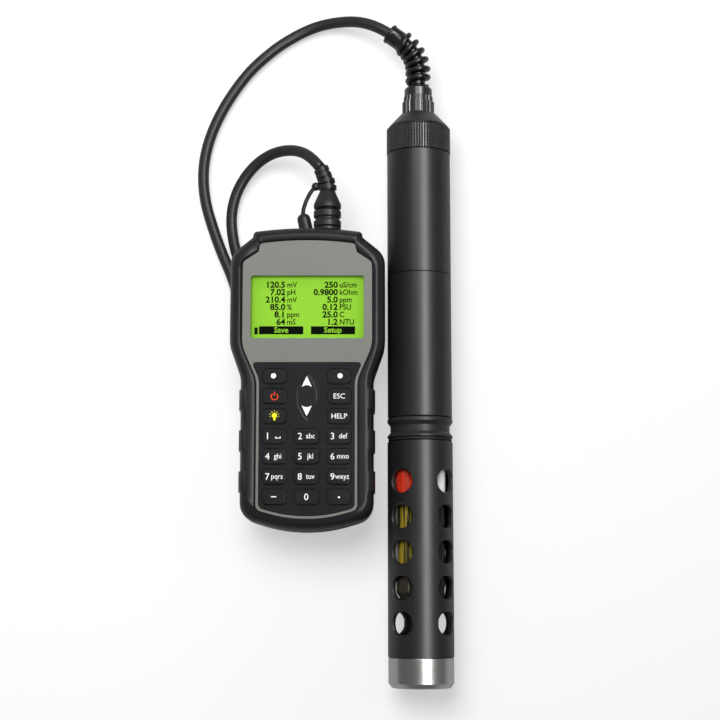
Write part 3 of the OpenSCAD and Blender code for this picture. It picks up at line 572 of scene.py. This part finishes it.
class METER_OT_lead(bpy.types.Operator):
    """Make the lead from the gland, through its coil, to the plug"""
    bl_idname = "meter.lead"
    bl_label = "Lead"

    def execute(self, context):
        looks = context.scene.meter_looks
        first = spline([Vector(p) for p in METER_ROUTE])
        last = spline([Vector(p) for p in PROBE_ROUTE])
        line = even([p * MM for p in first + coil_line()[1:] + last[::-1][1:]], 0.0025)
        for _ in range(6):
            line = [line[0]] + [(a + b * 2 + c) / 4 for a, b, c in zip(line, line[1:], line[2:])] + [line[-1]]
        line.reverse()
        mesh = tube_mesh("lead", line, looks.lead_diameter / 2, 16)
        mesh.materials.append(moulded("lead_sheath", (0.014, 0.0145, 0.016), 0.34, 0.12, 3200, 0.08))
        lead = link("lead", mesh)
        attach(lead, ROOT)
        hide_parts("cable_to_meter", "cable_coil", "cable_to_probe")
        paint(["coil_tie"], moulded("tie_plastic", (0.012, 0.012, 0.013), 0.5, 0.3, 2200))
        return {"FINISHED"}


class METER_OT_relief(bpy.types.Operator):
    """Make the strain relief's spring and collar"""
    bl_idname = "meter.relief"
    bl_label = "Strain relief"

    def execute(self, context):
        # The relief runs straight from the gland, then bends round a radius
        run, bend, turn = 10.5, 24.0, math.radians(53.5)
        wire, outside, turns, per_turn = 3.4, 16.2, 6, 28

        def middle(straight, angle):
            return Vector((PROBE.x - bend * (1 - math.cos(angle)),
                           GLAND_TOP + straight + bend * math.sin(angle), PROBE.z))

        first, last = wire * 0.55, run + bend * turn - 0.2
        line, inside = [], []
        for i in range(turns * per_turn + 1):
            along = first + (last - first) * i / (turns * per_turn)
            around = -2 * math.pi * i / per_turn
            angle = max(0, along - run) / bend
            centre = middle(min(along, run), angle)
            inside.append(centre * MM)
            out = Vector((math.cos(angle), math.sin(angle), 0))
            line.append((centre + (outside - wire) / 2
                         * (math.cos(around) * out + math.sin(around) * Vector((0, 0, 1)))) * MM)
        gloss = moulded("spring_gloss", (0.007, 0.007, 0.008), 0.2, 0.05, 1500, 0.1, coat=0.3)
        spring = tube_mesh("spring", line, wire / 2 * MM, 14, thin=6)
        core = tube_mesh("spring_core", inside[::4], 0.0046, 24)
        heading = Vector((-math.sin(turn), math.cos(turn), 0))
        profile = [(3.6, -0.2), (6.3, -0.2), (6.7, 0.2), (6.6, 0.7), (6.15, 1.2), (6.1, 1.6), (6.1, 8.4),
                   (6.2, 8.8), (6.55, 9.1), (6.6, 9.5), (6.55, 10.2), (6.1, 10.7), (5.4, 10.8), (3.6, 10.8)]
        collar = lathed("collar", [(r * MM, h * MM) for r, h in profile], middle(run, turn) * MM, heading, 48)
        made = joined("strain_relief_spring", [spring, core, collar], gloss)
        shade(made.data, 40)
        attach(made, ROOT)
        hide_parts("strain_relief")
        return {"FINISHED"}


def lip_rim(edge):
    """Whether an edge of the boot lies in the plane of its front lip."""
    return all(abs(v.co.z - LIP * MM) < 0.00005 for v in edge.verts)


class METER_OT_housing(bpy.types.Operator):
    """Finish the boot, the case, the panel and the keypad plate"""
    bl_idname = "meter.housing"
    bl_label = "Housing"

    def execute(self, context):
        looks = context.scene.meter_looks
        boot = moulded("boot_rubber", tuple(looks.boot_colour), 0.3, 0.1, 2600, 0.12, shine=0.24)
        softened("rubber_boot", "boot_skin", boot, width=0.0002, angle=32, rim=lip_rim,
                 level=False)
        panel = moulded("panel_paint", tuple(looks.panel_colour), 0.34, 0.1, 1700, 0.05, shine=0.25)
        softened("front_panel", "panel_face", panel, width=0.0003)
        plate = moulded("plate_black", (0.0105, 0.0108, 0.0115), 0.26, 0.05, 2400, 0.06, shine=0.12)
        softened("keypad_plate", "plate_face", plate, width=0.00025)
        case = moulded("case_plastic", (0.02, 0.021, 0.022), 0.5, 0.35, 1900, 0.1)
        paint(["front_case", "rear_case", "battery_door"], case)
        paint(["case_gasket", "sleeve_seal"], moulded("seal_rubber", (0.012, 0.012, 0.012), 0.55, 0.1))
        paint(["keypad_mat"], moulded("mat_silicone", (0.5, 0.5, 0.47), 0.5, 0.1))
        paint(["main_board"], moulded("board_green", (0.015, 0.1, 0.04), 0.35, 0.3, 700, 0.3))
        wrap = [(0.55, 0.55, 0.54), (0.02, 0.02, 0.022), (0.5, 0.27, 0.05)]
        paint(["batteries"], banded("cell_wrap", [-50.0, -21.0], wrap))
        paint(["battery_contacts", "case_screws"], turned_steel("plated_steel", (0.6, 0.6, 0.58), 0.3))
        return {"FINISHED"}


class METER_OT_display(bpy.types.Operator):
    """Light the display and write its numbers"""
    bl_idname = "meter.display"
    bl_label = "Display"

    def execute(self, context):
        lit = tuple(context.scene.meter_looks.display_colour)
        look = Finish("display_lit")
        # The light falls off towards the display's edges
        half_wide, half_high = 0.0349, 0.0198
        x, y = look.flat_axes()
        across = (x - DISPLAY.x * MM) / half_wide
        along = (y - DISPLAY.y * MM) / half_high
        rim = across.to_the(6) * 0.5 + along.to_the(4) * 0.18
        cells = look.noise(1500)
        colour = look.mix(rim + cells * 0.05, lit, tuple(c * 0.55 for c in lit))
        paint(["lcd_module"], look.surface(**{
            "Base Color": colour, "Roughness": 0.5, "Specular IOR Level": 0.05, "Emission Color": colour,
            "Emission Strength": 0.3}))
        glass = Finish("window_glass")
        haze = glass.noise(300)
        paint(["display_window"], glass.surface(**{
            "Base Color": (0.04, 0.05, 0.035), "Roughness": 0.12 + haze * 0.04,
            "Specular IOR Level": 0.15, "Alpha": 0.03}))
        low = DISPLAY_TOP + 0.02
        high = low + INK
        left = ("120.5", "mV"), ("7.02", "pH"), ("210.4", "mV"), ("85.0", "%"), ("8.1", "ppm"), ("64", "mS")
        right = (("250", "uS/cm"), ("0.9800", "kOhm"), ("5.0", "ppm"), ("0.12", "PSU"), ("25.0", "C"),
                 ("1.2", "NTU"))
        top_row, row_pitch, number_size, unit_size = 13.9, 4.58, 0.0052, 0.0048
        numbers, units = [], []
        for i, row in enumerate(zip(left, right)):
            y = DISPLAY.y + top_row - i * row_pitch
            # A number ends at its place across, and its unit starts a millimetre further
            for (number, unit), place in zip(row, (-13.4, 18.4)):
                x = DISPLAY.x + place
                numbers.append(words(number, number_size, x, y, low, high, "RIGHT", 1.04, 0.16))
                units.append(words(unit, unit_size, x + 1, y, low, high, "LEFT", 0.9, 0.07))
        ink = printed("display_ink", (0.001, 0.002, 0.001))
        bars = []
        for x0, x1, y0, y1 in ((-29.2, -2.4, -16.4, -11.5), (2.2, 28.9, -16.4, -11.5),
                               (-32.0, -30.0, -16.4, -12.3)):
            bars.append(slab([(x0, y0), (x1, y0), (x1, y1), (x0, y1)], low, high, DISPLAY))
        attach(joined("display_bars", bars, ink), ROOT)
        made = joined("display_numbers", numbers + units, ink)
        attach(made, ROOT)
        on_bars = [words(text, unit_size, DISPLAY.x + place, DISPLAY.y - 13.9, high, high + 0.02, bold=0.1)
                   for text, place in (("Save", -15.8), ("Setup", 15.5))]
        names = joined("display_names", on_bars, printed("display_bright", lit, 0.25))
        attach(names, ROOT)
        return {"FINISHED"}


# Each key: its column and row from the middle of the top row, and its mark
KEYS = {
    "key_soft_left": (-1, 0, "dot"), "key_soft_right": (1, 0, "dot"), "key_power": (-1, 1, "power"),
    "key_esc": (1, 1, "ESC"), "key_light": (-1, 2, "light"), "key_help": (1, 2, "HELP"),
    "key_1": (-1, 3, ("1", "space")), "key_2": (0, 3, ("2", "abc")), "key_3": (1, 3, ("3", "def")),
    "key_4": (-1, 4, ("4", "ghi")), "key_5": (0, 4, ("5", "jkl")), "key_6": (1, 4, ("6", "mno")),
    "key_7": (-1, 5, ("7", "pqrs")), "key_8": (0, 5, ("8", "tuv")), "key_9": (1, 5, ("9", "wxyz")),
    "key_minus": (-1, 6, "minus"), "key_0": (0, 6, "0"), "key_dot": (1, 6, "point"),
}


def mark_meshes(mark, x, y, size):
    """The meshes of one key's mark, from the key's middle in millimetres and a letter size in metres."""
    low, high = KEY_TOP, KEY_TOP + INK
    here = Vector((x, y))
    if mark == "dot":
        outwards = -0.6 if x < METER.x else 0.6
        return [slab(arc(1.55, 0, 345, 23), low, high, here + Vector((outwards, 0.2)))]
    if mark == "minus":
        return [slab([(-1.6, -0.1), (1.6, -0.1), (1.6, 0.45), (-1.6, 0.45)], low, high, here)]
    if mark == "point":
        return [slab(arc(0.62, 0, 330, 11), low, high, here + Vector((0, -0.1)))]
    if mark == "power":
        ring = arc(2.3, 125, 415, 24) + arc(1.72, 415, 125, 24)
        stem = [(-0.3, 0.3), (0.3, 0.3), (0.3, 2.75), (-0.3, 2.75)]
        return [slab(ring, low, high, here + Vector((0.1, -0.25))),
                slab(stem, low, high, here + Vector((0.1, 0)))]
    if mark == "light":
        bulb = arc(1.45, -62, 242, 22) + [(-0.62, -2.1), (-0.45, -2.9), (0.45, -2.9), (0.62, -2.1)]
        here += Vector((0.1, 0.35))
        near, far, half = 2.05, 2.95, 0.14
        rays = []
        for angle in range(-15, 196, 35):
            out = Vector((math.cos(math.radians(angle)), math.sin(math.radians(angle))))
            side = half * Vector((-out.y, out.x))
            ray = [near * out + side, near * out - side, far * out - side, far * out + side]
            rays.append(slab(ray, low, high, here))
        return [slab(bulb, low, high, here)] + rays
    if isinstance(mark, tuple):
        digit = words(mark[0], size, x - 3.9, y - 0.1, low, high)
        if mark[1] == "space":
            tray = [(-1.6, 0.5), (-1.6, -0.7), (1.6, -0.7), (1.6, 0.5),
                    (1.15, 0.5), (1.15, -0.25), (-1.15, -0.25), (-1.15, 0.5)]
            return [digit, slab(tray, low, high, here + Vector((2.3, -0.6)))]
        shift = 2.3 if len(mark[1]) < 4 else 1.9
        return [digit, words(mark[1], size * 0.8, x + shift, y + 0.1, low, high, narrow=0.9)]
    return [words(mark, size * (0.78 if len(mark) > 1 else 1), x, y - 0.1, low, high)]


class METER_OT_keys(bpy.types.Operator):
    """Round the keys' edges and print their marks"""
    bl_idname = "meter.keys"
    bl_label = "Keys"

    def execute(self, context):
        looks = context.scene.meter_looks
        rubber = moulded("key_rubber", (0.0105, 0.0108, 0.0115), 0.26, 0.05, 2600, 0.06, shine=0.16)
        white = printed("mark_white", tuple(looks.mark_colour))
        inks = {"power": printed("mark_red", (0.72, 0.06, 0.02)),
                "light": printed("mark_yellow", (0.86, 0.8, 0.03))}
        for name, (column, row, mark) in KEYS.items():
            body = name + "_body"
            softened(name, name + "_cap", rubber, body, 0.0006, 40)
            x = METER.x + column * PITCH_X
            y = METER.y + FIRST_Y - row * PITCH_Y
            made = joined(name + "_mark", mark_meshes(mark, x, y, looks.digit_size), inks.get(mark, white))
            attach(made, body)
        softened("key_nav", "key_nav_cap", rubber, "key_nav_body", 0.0005, 40)
        here = Vector((METER.x, METER.y + FIRST_Y - PITCH_Y))
        left = [(-0.828, 10.4), (-3.036, 5.6), (-1.748, 6.3)]
        arrow = [(0, 12.0), *left, (0, 6.75), *[(-px, py) for px, py in left[::-1]]]
        parts = [slab([(px, way * py) for px, py in arrow], KEY_TOP, KEY_TOP + INK, here) for way in (1, -1)]
        made = joined("key_nav_mark", parts, white)
        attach(made, "key_nav_body")
        return {"FINISHED"}


class METER_OT_plug(bpy.types.Operator):
    """Finish the plug, the socket, the dust cap and its strap"""
    bl_idname = "meter.plug"
    bl_label = "Plug"

    def execute(self, context):
        plug = moulded("plug_plastic", (0.012, 0.0125, 0.0135), 0.36, 0.15, 2400, 0.08)
        soft = moulded("tail_rubber", (0.011, 0.0115, 0.0125), 0.34, 0.1, 2200, 0.08)
        softened("plug_collar", "plug_collar_face", plug, "plug_collar_body", 0.0003, 40)
        softened("plug_shell", "plug_shell_face", plug, ROOT, 0.0004, 40)
        softened("probe_socket", "socket_face", plug, ROOT, 0.0003, 40)
        softened("plug_boot", "plug_tail", soft, ROOT, 0.0006, 40)
        softened("dust_cap", "dust_cap_face", soft, ROOT, 0.0003, 40)
        softened("cap_tether", "cap_strap", soft, ROOT, 0, 60)
        paint(["plug_core"], plug)
        return {"FINISHED"}


def hole_rim(edge):
    """Whether an edge of the sleeve runs round a water hole on the outside."""
    least_radius, low, high = 0.0196, -0.155, -0.04
    outside = all(math.hypot(v.co.x - PROBE.x * MM, v.co.z - PROBE.z * MM) > least_radius for v in edge.verts)
    return (outside and all(low < v.co.y < high for v in edge.verts) and len(edge.link_faces) == 2
            and edge.calc_face_angle() > math.radians(50))


class METER_OT_probe(bpy.types.Operator):
    """Finish the probe's body, ribs, sleeve and steel end"""
    bl_idname = "meter.probe"
    bl_label = "Probe"

    def execute(self, context):
        looks = context.scene.meter_looks
        edge = looks.edge_round
        tube = moulded("tube_plastic", (0.007, 0.0073, 0.008), 0.37, 0.1, 2600, 0.08, shine=0.62)
        cap = moulded("cap_plastic", (0.011, 0.0113, 0.012), 0.33, 0.14, 2400, 0.08, shine=0.55)
        ribbed = moulded("knurl_plastic", (0.009, 0.0093, 0.01), 0.27, 0.1, 2400, 0.08, shine=1.0)
        block = moulded("block_plastic", (0.014, 0.0145, 0.0155), 0.38, 0.15, 2400, 0.08)
        softened("upper_tube", "upper_tube_face", tube, width=edge)
        softened("lower_tube", "lower_tube_face", tube, width=edge)
        softened("protective_sleeve", "sleeve_face", tube, "sleeve", edge * 2, 35,
                 rim=hole_rim, cut=(0.0008, 1))
        softened("sensor_block", "block_face", block, width=edge)
        softened("cap_body", "cap_face", cap, width=edge)
        softened("gland_nut", "gland_face", ribbed, "gland_nut_body", 0.00012, 30)
        softened("steel_weight", "steel_face", turned_steel("turned_steel"), "sleeve", 0.0005, 35)
        paint(["joint_ring"], moulded("joint_plastic", (0.1, 0.1, 0.1), 0.4))
        paint(["temperature_pin"], turned_steel("pin_steel", (0.6, 0.6, 0.6), 0.2))

        # The ring's ribs stand on a plain band
        outside, length, rib = 20.0, 16.0, 0.55
        middle = Vector((PROBE.x, (RING_LOW + RING_HIGH) / 2, PROBE.z))
        ribs = ring_of("knurl", looks.rib_count, (outside - rib) * MM, rib * MM, length * MM, middle * MM,
                       ribbed)
        band = [(17.5, RING_LOW), (19.0, RING_LOW), (19.4, RING_LOW + 0.3), (19.4, RING_HIGH - 0.3),
                (19.0, RING_HIGH), (17.5, RING_HIGH)]
        core = lathed("band", [(r * MM, h * MM) for r, h in band], Vector((PROBE.x, 0, PROBE.z)) * MM,
                      Vector((0, 1, 0)), 96)
        made = joined("knurled_band", [core, ribs], ribbed)
        shade(made.data, 40)
        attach(made, "knurled_ring_body")
        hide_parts("knurled_ring")
        return {"FINISHED"}


class METER_OT_sensors(bpy.types.Operator):
    """Colour the sensors inside the sleeve"""
    bl_idname = "meter.sensors"
    bl_label = "Sensors"

    def execute(self, context):
        black, white = (0.012, 0.012, 0.013), (0.85, 0.85, 0.83)
        tip, amber, red = (0.02, 0.018, 0.012), (0.2, 0.15, 0.012), (0.5, 0.024, 0.008)
        glass = banded("red_and_amber", [GLASS_FOOT, CAP_FOOT], [tip, amber, red], 0.14, (0, 7, 2))
        paint(["ph_sensor"], glass)
        paint(["oxygen_sensor"], banded("white_and_black", [CAP_FOOT], [black, white], 0.22))
        paint(["conductivity_sensor"], moulded("sensor_black", (0.018, 0.018, 0.02), 0.3, 0.1))
        return {"FINISHED"}


class METER_PT_looks(bpy.types.Panel):
    """The meter's sizes, colours and steps"""
    bl_label = "Water quality meter"
    bl_space_type = "VIEW_3D"
    bl_region_type = "UI"
    bl_category = "Meter"

    def draw(self, context):
        for name in MeterLooks.__annotations__:
            self.layout.prop(context.scene.meter_looks, name)
        for step in STEPS:
            self.layout.operator(step.bl_idname)


# The steps in the order in which they are taken
STEPS = (METER_OT_stage, METER_OT_plug, METER_OT_relief, METER_OT_lead, METER_OT_housing, METER_OT_display,
         METER_OT_keys, METER_OT_probe, METER_OT_sensors)


def register():
    for kind in (MeterLooks, *STEPS, METER_PT_looks):
        bpy.utils.register_class(kind)
    bpy.types.Scene.meter_looks = bpy.props.PointerProperty(type=MeterLooks)


def unregister():
    del bpy.types.Scene.meter_looks
    for kind in reversed((MeterLooks, *STEPS, METER_PT_looks)):
        bpy.utils.unregister_class(kind)


def main():
    register()
    bpy.ops.meter.stage()
    bpy.ops.meter.plug()
    bpy.ops.meter.relief()
    bpy.ops.meter.lead()
    bpy.ops.meter.housing()
    bpy.ops.meter.display()
    bpy.ops.meter.keys()
    bpy.ops.meter.probe()
    bpy.ops.meter.sensors()


if __name__ == "__main__":
    main()
